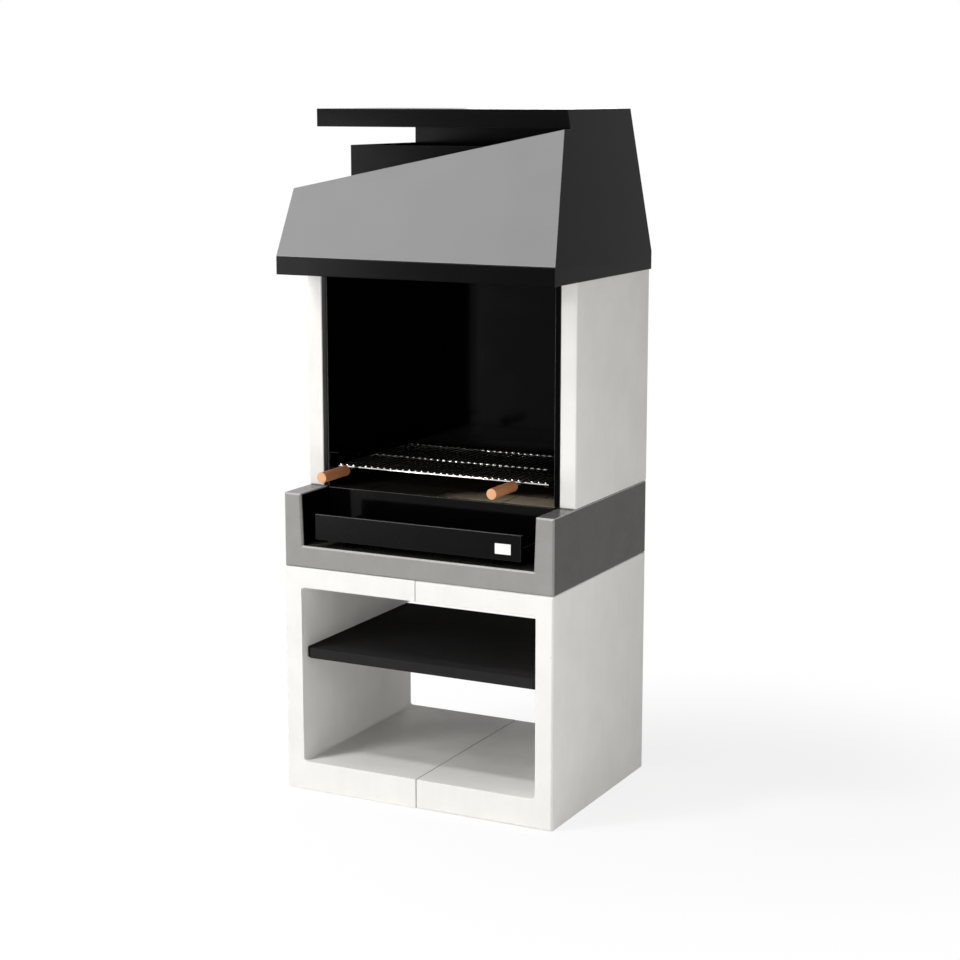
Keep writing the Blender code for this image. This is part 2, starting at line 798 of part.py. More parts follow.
def ash_drawer():
    """A folded front, a low tray behind it and a bare badge plate, on two channels."""
    front = place(
        "ash_drawer_front",
        tray_mesh(
            "ash_drawer_front",
            DRAWER_WIDTH,
            DRAWER_RETURN,
            DRAWER_HEIGHT,
            open_faces=((0, 1, 0),),
        ),
        BLACK_ENAMEL,
        location=(0, DRAWER_RETURN / 2, DRAWER_HEIGHT / 2),
        parent=DRAWER_SLIDE,
    )
    thicken(front, SHEET, towards_normals=False)
    tray_width = DRAWER_WIDTH - 2 * TRAY_SIDE_GAP
    tray = place(
        "ash_drawer_tray",
        tray_mesh(
            "ash_drawer_tray", tray_width, TRAY_DEPTH, TRAY_HEIGHT, open_faces=((0, 0, 1),)
        ),
        BLACK_ENAMEL,
        location=(0, DRAWER_RETURN + CLEARANCE + TRAY_DEPTH / 2, TRAY_HEIGHT / 2),
        parent=DRAWER_SLIDE,
    )
    thicken(tray, SHEET, towards_normals=False)
    place(
        "badge_plate",
        block_mesh("badge_plate", BADGE_WIDTH, BADGE_THICKNESS, BADGE_HEIGHT),
        WHITE_PLATE,
        location=(
            DRAWER_WIDTH / 2 - BADGE_FROM_END,
            -CLEARANCE - BADGE_THICKNESS / 2,
            BADGE_SILL + BADGE_HEIGHT / 2,
        ),
        parent=DRAWER_SLIDE,
    )
    foot = BENCH_FLOOR_TOP + CLEARANCE
    rise = DRAWER_BOTTOM - CLEARANCE - foot
    length = TRAY_DEPTH - RUNNER_SET_IN
    offset = DRAWER_WIDTH / 2 - RUNNER_FROM_END
    for name, side in (("drawer_runner_left", -1), ("drawer_runner_right", 1)):
        corners = [
            (-RUNNER_WIDTH / 2, 0, 0),
            (-RUNNER_WIDTH / 2, rise, BEND_RADIUS),
            (RUNNER_WIDTH / 2, rise, BEND_RADIUS),
            (RUNNER_WIDTH / 2, 0, 0),
        ]
        runner = place(
            name,
            sheet_mesh(name, rounded(corners, closed=False), length),
            BLACK_ENAMEL,
            location=(side * offset, DRAWER_FRONT + RUNNER_SET_IN + length, foot),
            rotation=STOOD_ACROSS,
        )
        thicken(runner, SHEET, towards_normals=False)


def hood_panels():
    """The welded shell of the hood, from sheets that meet edge to face."""
    plate_drop = SHEET * PLATE_LEAN / PLATE_SECANT + CLEARANCE
    band_top = SKIRT_TOP - plate_drop
    band_half = HOOD_HALF - SKIN
    corners = [
        (HOOD_FRONT + SKIRT_LIP, SKIRT_BOTTOM, 0),
        (HOOD_FRONT, SKIRT_BOTTOM, BEND_RADIUS),
        (HOOD_FRONT, band_top, BEND_RADIUS),
        (HOOD_FRONT + SKIRT_LIP, band_top, 0),
    ]
    band = place(
        "hood_front_band",
        sheet_mesh("hood_front_band", rounded(corners, closed=False), 2 * band_half),
        BLACK_PAINT,
        location=(-band_half, 0, 0),
        rotation=STOOD_ALONG,
    )
    thicken(band, SHEET, towards_normals=False)

    outline = [
        (-HOOD_HALF, 0),
        (HOOD_HALF, 0),
        (right_at(PLATE_HIGH), (PLATE_HIGH - SKIRT_TOP) * PLATE_SECANT),
        (-HOOD_HALF, (PLATE_LOW - SKIRT_TOP) * PLATE_SECANT),
    ]
    plate = place(
        "hood_front_plate",
        flat_sheet_mesh("hood_front_plate", outline),
        GREY_PAINT,
        location=(0, HOOD_FRONT, SKIRT_TOP),
        rotation=(math.radians(90) - math.atan(PLATE_LEAN), 0, 0),
    )
    thicken(plate, SHEET, towards_normals=False)

    front_edge = [
        (HOOD_FRONT, SKIRT_BOTTOM),
        (HOOD_FRONT, band_top),
        (front_at(band_top, SKIN), band_top),
    ]
    left_outline = front_edge + [
        (front_at(PLATE_LOW, SKIN), PLATE_LOW),
        (HOOD_BACK, PLATE_LOW),
        (HOOD_BACK, SKIRT_BOTTOM),
    ]
    left = place(
        "hood_left_panel",
        flat_sheet_mesh("hood_left_panel", left_outline),
        BLACK_PAINT,
        location=(-HOOD_HALF, 0, 0),
        rotation=STOOD_ALONG,
    )
    thicken(left, SHEET, towards_normals=True)
    right_outline = front_edge + [
        (front_at(PLATE_HIGH, SKIN), PLATE_HIGH),
        (CAP_FRONT, PLATE_HIGH),
        (CAP_FRONT, CAP_TOP),
        (HOOD_BACK, CAP_TOP),
        (HOOD_BACK, SKIRT_BOTTOM),
    ]
    right = place(
        "hood_right_panel",
        flat_sheet_mesh("hood_right_panel", right_outline, fold=SKIRT_TOP, lean=SIDE_LEAN),
        BLACK_PAINT,
        location=(HOOD_HALF, 0, 0),
        rotation=STOOD_ALONG,
    )
    thicken(right, SHEET, towards_normals=False)

    back_top = CAP_BOTTOM - CLEARANCE - SHEET * SIDE_LEAN
    back_outline = [
        (-band_half, SKIRT_BOTTOM),
        (band_half, SKIRT_BOTTOM),
        (right_at(SKIRT_TOP, SKIN), SKIRT_TOP),
        (right_at(back_top, SKIN), back_top),
        (FLUE_LEFT, back_top),
        (FLUE_LEFT, PLATE_LOW),
        (-band_half, PLATE_LOW),
    ]
    back = place(
        "hood_back_panel",
        flat_sheet_mesh("hood_back_panel", back_outline),
        BLACK_PAINT,
        location=(0, HOOD_BACK, 0),
        rotation=STOOD_ACROSS,
    )
    thicken(back, SHEET, towards_normals=True)


def hood_top():
    """The shoulder that closes the hood, the flue box on it and the cap above."""
    inside_back = HOOD_BACK - SKIN
    lap_x = FLUE_LEFT + SHEET + SHOULDER_LAP
    lap_y = FLUE_FRONT + SHEET + SHOULDER_LAP
    front = front_at(SHOULDER, SKIN)
    right = right_at(SHOULDER, SKIN)
    outline = [
        (-HOOD_HALF + SKIN, front),
        (right, front),
        (right, lap_y),
        (lap_x, lap_y),
        (lap_x, inside_back),
        (-HOOD_HALF + SKIN, inside_back),
    ]
    place(
        "hood_shoulder_plate",
        outline_mesh("hood_shoulder_plate", outline, SHEET),
        BLACK_PAINT,
        location=(0, 0, SHOULDER - SHEET / 2),
    )

    foot = SHOULDER + CLEARANCE
    corners = [
        (right_at(foot, SKIN), FLUE_FRONT, 0),
        (FLUE_LEFT, FLUE_FRONT, BEND_RADIUS),
        (FLUE_LEFT, inside_back, 0),
    ]
    walls = sheet_mesh("flue_box", rounded(corners, closed=False), FLUE_TOP - foot)
    for vert in walls.vertices:
        if vert.co.x > 0:
            vert.co.x = right_at(foot + vert.co.z, SKIN)
    flue = place("flue_box", walls, BLACK_PAINT, location=(0, 0, foot))
    thicken(flue, SHEET, towards_normals=False)

    depth = HOOD_BACK - CAP_FRONT
    lid = tray_mesh(
        "hood_cap", 2 * HOOD_HALF, depth, CAP_HEIGHT, open_faces=((0, 0, -1),)
    )
    middle = CAP_BOTTOM + CAP_HEIGHT / 2
    for vert in lid.vertices:
        if vert.co.x > 0:
            vert.co.x = right_at(middle + vert.co.z, SKIN)
    cap = place(
        "hood_cap", lid, BLACK_PAINT, location=(0, (CAP_FRONT + HOOD_BACK) / 2, middle)
    )
    thicken(cap, SHEET, towards_normals=False)


def hood_ledges():
    """Angles inside the skirt, by which the hood stands on the side walls."""
    seat = WALL_TOP + CLEARANCE
    start = WALL_FRONT + LEDGE_SET_IN
    length = DEPTH - LEDGE_SET_IN - start
    outer = HOOD_HALF - SKIN
    for name, side in (("hood_ledge_left", -1), ("hood_ledge_right", 1)):
        corners = [
            (side * (outer - LEDGE_SEAT), seat, 0),
            (side * outer, seat, LEDGE_RADIUS),
            (side * outer, seat + LEDGE_LEG, 0),
        ]
        ledge = place(
            name,
            sheet_mesh(name, rounded(corners, closed=False), length),
            GALVANISED,
            location=(0, start + length, 0),
            rotation=STOOD_ACROSS,
        )
        thicken(ledge, LEDGE_SHEET, towards_normals=side > 0)


clear_scene()
PIECES = new_collection("barbecue_grill")
CUTTERS = new_collection("cutters")

WHITE_CONCRETE = finish("white_concrete", 0xE9E7E2, 0.75)
GREY_CONCRETE = finish("grey_concrete", 0x9A9995, 0.6)
BLACK_SLAB = finish("black_slab", 0x1E1E1F, 0.4)
BLACK_ENAMEL = finish("black_enamel", 0x0D0D0D, 0.15)
BLACK_PAINT = finish("black_paint", 0x1C1C1D, 0.45)
GREY_PAINT = finish("grey_paint", 0x9A9A9A, 0.5)
CHROME = finish("chromed_wire", 0xD8D8D8, 0.12, 1.0)
GALVANISED = finish("galvanised_steel", 0x9B9EA0, 0.45, 1.0)
FIRE_BRICK = finish("fire_brick", 0xA79B86, 0.85)
BEECH = finish("beech", 0xC68B5B, 0.5)
WHITE_PLATE = finish("white_plate", 0xF2F2F2, 0.35)

STAND = empty("grill_stand", (0, -MIDDLE_Y, 0))
GRATE_SLIDE = empty("grate_slide", (0, BAR_FRONT, GRATE_HEIGHT), STAND)
DRAWER_SLIDE = empty("ash_drawer_slide", (0, DRAWER_FRONT, DRAWER_BOTTOM), STAND)

base_block("base_left_block", -1)
base_block("base_right_block", 1)
storage_shelf()
bench()
trough_lining("trough_lining_left", -1)
trough_lining("trough_lining_right", 1)
fireplace_walls()
firebox_liner()
hearth()
fire_bricks()
grate()
grate_handle("grate_handle_left", -1)
grate_handle("grate_handle_right", 1)
grate_angles()
ash_drawer()
hood_panels()
hood_top()
hood_ledges()
bpy.context.view_layer.update()
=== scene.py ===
import json
import math

import bmesh
import bpy
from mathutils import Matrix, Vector, noise

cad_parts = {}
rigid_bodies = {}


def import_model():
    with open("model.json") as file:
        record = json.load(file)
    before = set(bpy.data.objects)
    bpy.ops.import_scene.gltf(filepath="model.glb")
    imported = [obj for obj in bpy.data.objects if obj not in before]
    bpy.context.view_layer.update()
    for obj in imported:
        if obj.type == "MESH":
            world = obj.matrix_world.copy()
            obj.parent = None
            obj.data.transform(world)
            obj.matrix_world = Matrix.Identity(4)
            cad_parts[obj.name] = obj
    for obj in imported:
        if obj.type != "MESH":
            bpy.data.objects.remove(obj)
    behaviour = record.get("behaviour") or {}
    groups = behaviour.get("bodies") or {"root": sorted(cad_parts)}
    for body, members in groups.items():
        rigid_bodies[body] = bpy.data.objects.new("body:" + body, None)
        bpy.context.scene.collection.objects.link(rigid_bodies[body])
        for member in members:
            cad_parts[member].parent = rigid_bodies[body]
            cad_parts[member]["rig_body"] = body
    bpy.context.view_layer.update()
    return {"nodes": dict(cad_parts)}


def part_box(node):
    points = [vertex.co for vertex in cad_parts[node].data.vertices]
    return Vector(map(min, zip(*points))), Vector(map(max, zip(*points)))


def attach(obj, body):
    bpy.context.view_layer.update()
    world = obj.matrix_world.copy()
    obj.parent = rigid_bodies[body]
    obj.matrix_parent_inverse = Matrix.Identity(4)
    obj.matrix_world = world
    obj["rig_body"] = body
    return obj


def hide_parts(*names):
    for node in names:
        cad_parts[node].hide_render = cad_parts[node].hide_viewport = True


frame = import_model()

solids = frame["nodes"]

# Base: two C-shaped blocks cast in white concrete, stood together so that their open
# sides meet. The mould leaves a smooth face with faint clouds, run marks and a few
# small air holes, painted darker as shade. The arrises are cast with a chamfer, painted
# lighter where it looks up, as a highlight.


def linear(colour):
    """An sRGB colour written 0xRRGGBB as the linear light that a shader takes."""
    shares = [(colour >> shift & 255) / 255 for shift in (16, 8, 0)]
    return (*(s / 12.92 if s <= 0.04045 else ((s + 0.055) / 1.055) ** 2.4 for s in shares), 1.0)


def per_mm(size):
    """The scale of a pattern whose features measure this many millimetres."""
    return 1000 / size


def add(tree, kind, inputs=None, **settings):
    """Adds a node with its settings. An input is a value, or the output it comes from."""
    made = tree.nodes.new(kind)
    for setting, value in settings.items():
        setattr(made, setting, value)
    for socket, value in (inputs or {}).items():
        if isinstance(value, bpy.types.NodeSocket):
            tree.links.new(value, made.inputs[socket])
        else:
            made.inputs[socket].default_value = value
    return made


def surface(name, **constants):
    """A new material, its tree and its Principled shader with those inputs set."""
    material = bpy.data.materials.new(name)
    material.use_nodes = True
    shader = material.node_tree.nodes["Principled BSDF"]
    for socket, value in constants.items():
        shader.inputs[socket.replace("_", " ")].default_value = value
    return material, material.node_tree, shader


def looking_up(tree, start, end):
    """0 to 1 as the height of a surface's normal goes from the one value to the other."""
    normal = add(tree, "ShaderNodeNewGeometry").outputs["Normal"]
    height = add(tree, "ShaderNodeSeparateXYZ", {"Vector": normal}).outputs["Z"]
    return add(
        tree, "ShaderNodeMapRange", {"Value": height, "From Min": start, "From Max": end}
    ).outputs["Result"]


def cast_concrete(name, body, cloud, highlight_colour, hole_shade, dirt_and_shade_colour, roughness, cloud_mm, gloss):
    """Mould-smooth concrete: clouds of two shades, run marks, sand grain, air holes and,
    where the faces say so, dirt and painted shade. The holes are painted darker as shade,
    and chamfers that look up lighter as a highlight. The sand's 1 mm grain is drawn at
    5 mm to show at all. The gloss is given for upright faces and for those that look up."""
    cloud_share = 0.75
    run_stretch = (1.0, 1.0, 0.12)
    arris_highlight = 1.8
    cells_without_hole = 0.86
    widest_hole = 0.07
    material, tree, shader = surface(name, IOR=1.5)
    place = add(tree, "ShaderNodeTexCoord").outputs["Object"]
    clouds = add(
        tree, "ShaderNodeTexNoise",
        {"Vector": place, "Scale": per_mm(cloud_mm), "Detail": 7.0, "Roughness": 0.62},
    ).outputs["Fac"]
    stretched = add(
        tree, "ShaderNodeMapping", {"Vector": place, "Scale": run_stretch}
    ).outputs["Vector"]
    runs = add(
        tree, "ShaderNodeTexNoise",
        {"Vector": stretched, "Scale": per_mm(28), "Detail": 4.0, "Roughness": 0.55},
    ).outputs["Fac"]
    grain = add(
        tree, "ShaderNodeTexNoise",
        {"Vector": place, "Scale": per_mm(5), "Detail": 3.0, "Roughness": 0.6},
    ).outputs["Fac"]
    shade = add(
        tree, "ShaderNodeMath", {0: clouds, 1: cloud_share}, operation="MULTIPLY"
    ).outputs[0]
    shade = add(
        tree, "ShaderNodeMath", {0: runs, 1: 1 - cloud_share, 2: shade},
        operation="MULTIPLY_ADD",
    ).outputs[0]
    shade = add(
        tree, "ShaderNodeMapRange", {"Value": shade, "From Min": 0.36, "From Max": 0.66}
    ).outputs["Result"]
    colour = add(
        tree, "ShaderNodeMix", {0: shade, 6: linear(body), 7: linear(cloud)}, data_type="RGBA"
    ).outputs[2]

    # A face that looks along no axis is a chamfer, since all else here is square.
    normal = add(tree, "ShaderNodeNewGeometry").outputs["True Normal"]
    turned = add(tree, "ShaderNodeVectorMath", {0: normal}, operation="ABSOLUTE").outputs[0]
    parts = add(tree, "ShaderNodeSeparateXYZ", {"Vector": turned}).outputs
    widest = add(
        tree, "ShaderNodeMath", {0: parts["X"], 1: parts["Y"]}, operation="MAXIMUM"
    ).outputs[0]
    widest = add(
        tree, "ShaderNodeMath", {0: widest, 1: parts["Z"]}, operation="MAXIMUM"
    ).outputs[0]
    arris = add(
        tree, "ShaderNodeMapRange",
        {"Value": widest, "From Min": 0.985, "From Max": 0.9, "To Max": arris_highlight},
    ).outputs["Result"]
    # A chamfer that looks up is painted lighter: a painted highlight, broken by the grain.
    arris_highlight_share = add(
        tree, "ShaderNodeMath", {0: arris, 1: looking_up(tree, 0.1, 0.6)}, operation="MULTIPLY"
    ).outputs[0]
    arris_highlight_share = add(
        tree, "ShaderNodeMath", {0: arris_highlight_share, 1: grain}, operation="MULTIPLY", use_clamp=True
    ).outputs[0]
    colour = add(
        tree, "ShaderNodeMix", {0: arris_highlight_share, 6: colour, 7: linear(highlight_colour)}, data_type="RGBA"
    ).outputs[2]

    cells = add(
        tree, "ShaderNodeTexVoronoi", {"Vector": place, "Scale": per_mm(34), "Randomness": 1.0}
    ).outputs
    chance = add(tree, "ShaderNodeSeparateColor", {"Color": cells["Color"]}).outputs["Red"]
    reach = add(
        tree, "ShaderNodeMapRange",
        {"Value": chance, "From Min": cells_without_hole, "From Max": 1.0,
         "To Max": widest_hole},
    ).outputs["Result"]
    depth = add(
        tree, "ShaderNodeMath", {0: reach, 1: cells["Distance"]}, operation="SUBTRACT"
    ).outputs[0]
    holes = add(
        tree, "ShaderNodeMapRange", {"Value": depth, "From Min": 0.0, "From Max": 0.02}
    ).outputs["Result"]
    # The air holes are painted darker: painted shade inside them.
    colour = add(
        tree, "ShaderNodeMix", {0: holes, 6: colour, 7: linear(hole_shade)}, data_type="RGBA"
    ).outputs[2]
    # Dirt at the base's joint and painted shade on the bench darken the colour here.
    dirt_and_shade = add(tree, "ShaderNodeAttribute", attribute_name="dirt_and_shade").outputs["Fac"]
    colour = add(
        tree, "ShaderNodeMix", {0: dirt_and_shade, 6: colour, 7: linear(dirt_and_shade_colour)}, data_type="RGBA"
    ).outputs[2]
    tree.links.new(colour, shader.inputs["Base Color"])

    sheen = add(
        tree, "ShaderNodeMapRange",
        {"Value": looking_up(tree, 0.8, 0.95), "To Min": gloss[0], "To Max": gloss[1]},
    ).outputs["Result"]
    tree.links.new(sheen, shader.inputs["Specular IOR Level"])
    smooth = add(
        tree, "ShaderNodeMapRange",
        {"Value": clouds, "From Min": 0.35, "From Max": 0.65,
         "To Min": roughness[0], "To Max": roughness[1]},
    ).outputs["Result"]
    tree.links.new(smooth, shader.inputs["Roughness"])
    relief = add(
        tree, "ShaderNodeMath", {0: holes, 1: -1.0, 2: grain}, operation="MULTIPLY_ADD"
    ).outputs[0]
    bump = add(
        tree, "ShaderNodeBump", {"Height": relief, "Strength": 0.3, "Distance": 0.0005}
    ).outputs["Normal"]
    tree.links.new(bump, shader.inputs["Normal"])
    return material


def settle(piece):
    """Turns a piece with modifiers into a plain mesh."""
    bpy.context.view_layer.update()
    graph = bpy.context.evaluated_depsgraph_get()
    shape = bpy.data.meshes.new_from_object(piece.evaluated_get(graph))
    shape.name = piece.name
    piece.modifiers.clear()
    piece.data = shape


def show(piece, *sources):
    """Gives a finished piece to the body of the solids that it stands for."""
    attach(piece, solids[sources[0]]["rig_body"])
    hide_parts(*sources)


SAME_POINT = 1e-5
SAME_PLANE = math.radians(0.5)
SHARP_EDGE = math.radians(25)


def rounded(source, made, radius, finishes):
    """A solid's own shape with its sharp edges rounded. Where there are two finishes,
    the second is on the rounded edges."""
    bm = bmesh.new()
    bm.from_mesh(solids[source].data)
    bmesh.ops.remove_doubles(bm, verts=bm.verts, dist=SAME_POINT)
    bmesh.ops.dissolve_limit(
        bm, angle_limit=SAME_PLANE, verts=bm.verts[:], edges=bm.edges[:]
    )
    mesh = bpy.data.meshes.new(f"{source}_{made}")
    bm.to_mesh(mesh)
    bm.free()
    mesh.shade_smooth()
    mesh.materials.clear()
    for finish in finishes:
        mesh.materials.append(finish)
    for face in mesh.polygons:
        face.material_index = 0
    piece = bpy.data.objects.new(mesh.name, mesh)
    bpy.context.scene.collection.objects.link(piece)
    rounding = piece.modifiers.new("rounding", "BEVEL")
    rounding.width = radius
    rounding.segments = 2
    rounding.limit_method = "ANGLE"
    rounding.angle_limit = SHARP_EDGE
    rounding.material = len(finishes) - 1 if len(finishes) > 1 else -1
    piece.modifiers.new("evened", "WEIGHTED_NORMAL")
    settle(piece)
    show(piece, source)
    return piece


def soil_and_shade(piece, amount):
    """Marks how much dirt and painted shade each face of a concrete piece holds."""
    dirt_and_shade = piece.data.attributes.new("dirt_and_shade", "FLOAT", "FACE")
    dirt_and_shade.data.foreach_set("value", [amount(face) for face in piece.data.polygons])


JOINT = 0.002
JOINT_DIRT = 0.65
CAST_ARRIS = 0.0012
white_concrete = cast_concrete(
    "white_cast_concrete", body=0xEBE9E5, cloud=0xE4E2DE, highlight_colour=0xF0EEEB, hole_shade=0xBDBAB3,
    dirt_and_shade_colour=0x8F8A7E, roughness=(0.62, 0.8), cloud_mm=150, gloss=(0.3, 0.2),
)
for block in ("base_left_block", "base_right_block"):
    cast = rounded(block, "cast", CAST_ARRIS, [white_concrete])
    soil_and_shade(cast, lambda face: JOINT_DIRT if abs(face.center.x) < JOINT else 0.0)

# Shelf: a slab of black through-coloured concrete, ground flat and left matt, slid into
# grooves in the base. Its front corners are clipped and its edges barely broken. The
# ground 1 mm sand is drawn at 4 mm, or it would not show.
black_slab, tree, shader = surface("black_ground_concrete", IOR=1.5, Specular_IOR_Level=0.0)
place = add(tree, "ShaderNodeTexCoord").outputs["Object"]
clouds = add(
    tree, "ShaderNodeTexNoise", {"Vector": place, "Scale": per_mm(80), "Detail": 6.0}
).outputs["Fac"]
grain = add(
    tree, "ShaderNodeTexNoise", {"Vector": place, "Scale": per_mm(4), "Detail": 3.0}
).outputs["Fac"]
colour = add(
    tree, "ShaderNodeMix", {0: clouds, 6: linear(0x272626), 7: linear(0x2F2E2E)}, data_type="RGBA"
).outputs[2]
tree.links.new(colour, shader.inputs["Base Color"])
smooth = add(
    tree, "ShaderNodeMapRange",
    {"Value": clouds, "From Min": 0.3, "From Max": 0.7, "To Min": 0.5, "To Max": 0.65},
).outputs["Result"]
tree.links.new(smooth, shader.inputs["Roughness"])
bump = add(
    tree, "ShaderNodeBump", {"Height": grain, "Strength": 0.3, "Distance": 0.0003}
).outputs["Normal"]
tree.links.new(bump, shader.inputs["Normal"])
GROUND_ARRIS = 0.0008
rounded("storage_shelf", "ground", GROUND_ARRIS, [black_slab])

# Bench: one tray of grey concrete, cast in a steel mould and sealed against grease, so
# that its top mirrors the wall at a low angle. Its clouds are darker and smaller than the
# base's. Its ends, its tops and most the trough's floor are painted darker, as shade.
grey_concrete = cast_concrete(
    "grey_sealed_concrete", body=0x979694, cloud=0x8D8C89, highlight_colour=0xBDBCB8, hole_shade=0x55544F,
    dirt_and_shade_colour=0x2E2D2B, roughness=(0.2, 0.32), cloud_mm=95, gloss=(0.06, 0.28),
)
cast = rounded("bench", "cast", CAST_ARRIS, [grey_concrete])
low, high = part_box("bench")
# Painted shade: the bench's ends, its tops and most the trough's floor are darkened.
END_SHADE = 0.8
TOP_SHADE = 0.6
FLOOR_SHADE = 0.94
END_SKIN = 0.001


def bench_painted_shade(face):
    """How much painted shade darkens a face of the bench: its ends and tops, and most the trough's
    floor.
    """
    if abs(face.normal.x) > 0.99 and abs(face.center.x) > high.x - END_SKIN:
        return END_SHADE
    if face.normal.z > 0.9:
        return FLOOR_SHADE if face.center.z < (low.z + high.z) / 2 else TOP_SHADE
    return 0.0


soil_and_shade(cast, bench_painted_shade)

# Linings, firebox, hearth, angles and drawer channels: mild steel sheet, cut, folded and
# then enamelled black, with the faint orange peel that firing leaves. Cut edges and
# folds are painted lighter, as a highlight.


def fired_enamel(name, colour, roughness, gloss, peel_mm, highlight_colour=None):
    """Enamel on sheet steel, its gloss a little uneven where it was wiped. Its 2 mm peel
    is drawn coarser, or it would not show. A face that looks up may be painted another
    colour, as a highlight."""
    material, tree, shader = surface(
        name, Base_Color=linear(colour), IOR=1.5, Specular_IOR_Level=gloss
    )
    # A face that looks up gets a lighter colour: a painted highlight.
    if highlight_colour:
        shade = add(
            tree, "ShaderNodeMix",
            {0: looking_up(tree, 0.1, 0.5), 6: linear(colour), 7: linear(highlight_colour)},
            data_type="RGBA",
        ).outputs[2]
        tree.links.new(shade, shader.inputs["Base Color"])
    place = add(tree, "ShaderNodeTexCoord").outputs["Object"]
    smears = add(
        tree, "ShaderNodeTexNoise", {"Vector": place, "Scale": per_mm(70), "Detail": 5.0}
    ).outputs["Fac"]
    smooth = add(
        tree, "ShaderNodeMapRange",
        {"Value": smears, "From Min": 0.35, "From Max": 0.7,
         "To Min": roughness[0], "To Max": roughness[1]},
    ).outputs["Result"]
    tree.links.new(smooth, shader.inputs["Roughness"])
    peel = add(
        tree, "ShaderNodeTexNoise", {"Vector": place, "Scale": per_mm(peel_mm), "Detail": 1.0}
    ).outputs["Fac"]
    bump = add(
        tree, "ShaderNodeBump", {"Height": peel, "Strength": 0.03, "Distance": 0.0004}
    ).outputs["Normal"]
    tree.links.new(bump, shader.inputs["Normal"])
    return material


# The firebox's enamel is deep and mirrors little. The back sheet's is smoother and mirrors
# the open front, the hearth plate's is the glossiest, and edges and folds are painted grey
# as a highlight.
firebox_enamel = fired_enamel("black_firebox_enamel", 0x020202, (0.1, 0.14), 0.03, 7)
back_enamel = fired_enamel("black_enamel_at_the_back", 0x010101, (0.08, 0.11), 0.06, 9)
hearth_enamel = fired_enamel("black_hearth_enamel", 0x050505, (0.07, 0.11), 0.09, 7)
# These bevel finishes are painted lighter than the faces: painted highlights on edges and folds.
edge_highlight_enamel = fired_enamel(
    "enamel_with_painted_highlight", 0x0E0E0E, (0.3, 0.42), 0.15, 3, highlight_colour=0x5E5E5D
)
flange_highlight_enamel = fired_enamel("flange_enamel_painted_highlight", 0x6E6E6D, (0.35, 0.45), 0.15, 3)
CUT_EDGE = 0.0004
FLANGE_EDGE = 0.0007
FOLD = 0.0016
for sheet in ("trough_lining_left", "trough_lining_right"):
    rounded(sheet, "enamelled", CUT_EDGE, [firebox_enamel, edge_highlight_enamel])
for sheet in ("liner_left_side", "liner_right_side"):
    rounded(sheet, "enamelled", FLANGE_EDGE, [firebox_enamel, flange_highlight_enamel])
rounded("liner_back", "enamelled", CUT_EDGE, [back_enamel, edge_highlight_enamel])
for sheet in ("hearth_pan", "drawer_runner_left", "drawer_runner_right",
              "grate_angle_lower_left", "grate_angle_lower_right",
              "grate_angle_upper_left", "grate_angle_upper_right"):
    rounded(sheet, "enamelled", CUT_EDGE, [firebox_enamel])
rounded("hearth_front_plate", "enamelled", FOLD, [hearth_enamel, edge_highlight_enamel])

# Fireplace walls: three slabs of the base's white concrete, cast flat with barely broken
# arrises, and stood on the bench round the firebox.
WALL_ARRIS = 0.001
for wall in ("left_side_wall", "right_side_wall", "rear_wall"):
    rounded(wall, "cast", WALL_ARRIS, [white_concrete])

# Hearth: dry-laid fire bricks of pressed fireclay, their faces slightly uneven, with
# darker grog grains. No two bricks come out of the kiln in quite the same shade. All but
# the front right ones are painted dark, as shadow.
fire_brick, tree, shader = surface("fireclay_brick", IOR=1.5, Specular_IOR_Level=0.0)
place = add(tree, "ShaderNodeTexCoord").outputs["Object"]
shade = add(tree, "ShaderNodeAttribute", attribute_name="kiln_shade").outputs["Fac"]
clouds = add(
    tree, "ShaderNodeTexNoise", {"Vector": place, "Scale": per_mm(30), "Detail": 6.0}
).outputs["Fac"]
grog = add(
    tree, "ShaderNodeTexVoronoi", {"Vector": place, "Scale": per_mm(5)}
).outputs["Distance"]
mixed = add(
    tree, "ShaderNodeMath", {0: clouds, 1: 0.5, 2: shade}, operation="MULTIPLY_ADD"
).outputs[0]
colour = add(
    tree, "ShaderNodeMix", {0: mixed, 6: linear(0x8A7F6C), 7: linear(0x6C6352)}, data_type="RGBA"
).outputs[2]
speck = add(
    tree, "ShaderNodeMapRange",
    {"Value": grog, "From Min": 0.3, "From Max": 0.12, "To Max": 0.5},
).outputs["Result"]
colour = add(
    tree, "ShaderNodeMix", {0: speck, 6: colour, 7: linear(0x554F43)}, data_type="RGBA"
).outputs[2]
# Painted shadow: the bricks darken to near black except at the front right.
painted_shadow = add(tree, "ShaderNodeAttribute", attribute_name="painted_shadow").outputs["Fac"]
patches = add(
    tree, "ShaderNodeTexNoise", {"Vector": place, "Scale": per_mm(60), "Detail": 5.0}
).outputs["Fac"]
patches = add(
    tree, "ShaderNodeMath", {0: patches, 1: 0.5}, operation="SUBTRACT"
).outputs[0]
patches = add(
    tree, "ShaderNodeMath", {0: patches, 1: 0.6, 2: painted_shadow}, operation="MULTIPLY_ADD"
).outputs[0]
shadowed = add(
    tree, "ShaderNodeMapRange", {"Value": patches, "To Max": 0.97},
    interpolation_type="SMOOTHSTEP",
).outputs["Result"]
colour = add(
    tree, "ShaderNodeMix", {0: shadowed, 6: colour, 7: linear(0x0A0908)}, data_type="RGBA"
).outputs[2]
tree.links.new(colour, shader.inputs["Base Color"])
shader.inputs["Roughness"].default_value = 0.85
relief = add(
    tree, "ShaderNodeMath", {0: grog, 1: clouds}, operation="ADD"
).outputs[0]
bump = add(
    tree, "ShaderNodeBump", {"Height": relief, "Strength": 0.5, "Distance": 0.0008}
).outputs["Normal"]
tree.links.new(bump, shader.inputs["Normal"])

BRICK_ARRIS = 0.0009
TONE_SPREAD = 0.5
